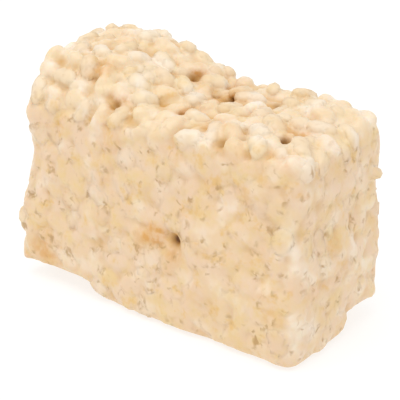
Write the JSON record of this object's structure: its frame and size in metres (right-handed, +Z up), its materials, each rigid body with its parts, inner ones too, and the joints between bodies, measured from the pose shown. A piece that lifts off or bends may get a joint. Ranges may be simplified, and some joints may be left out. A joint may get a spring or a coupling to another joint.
{
  "type": "rice crispy treat",
  "caption": "Chunky hand-cut bar of crisped rice bound with marshmallow, with a heaped, grainy top and pressed, cut sides.",
  "frame": {"origin": "under the middle of the block's bounding box, on the surface that it stands on", "axes": "+X along the block's length towards its lower end, -Y out of the long front face, +Z up"},
  "size_m": [0.0842, 0.0386, 0.0602],
  "materials": {
    "rice_and_marshmallow": "satin"
  },
  "bodies": {
    "root": {"treat": "rice_and_marshmallow"}
  },
  "joints": []
}
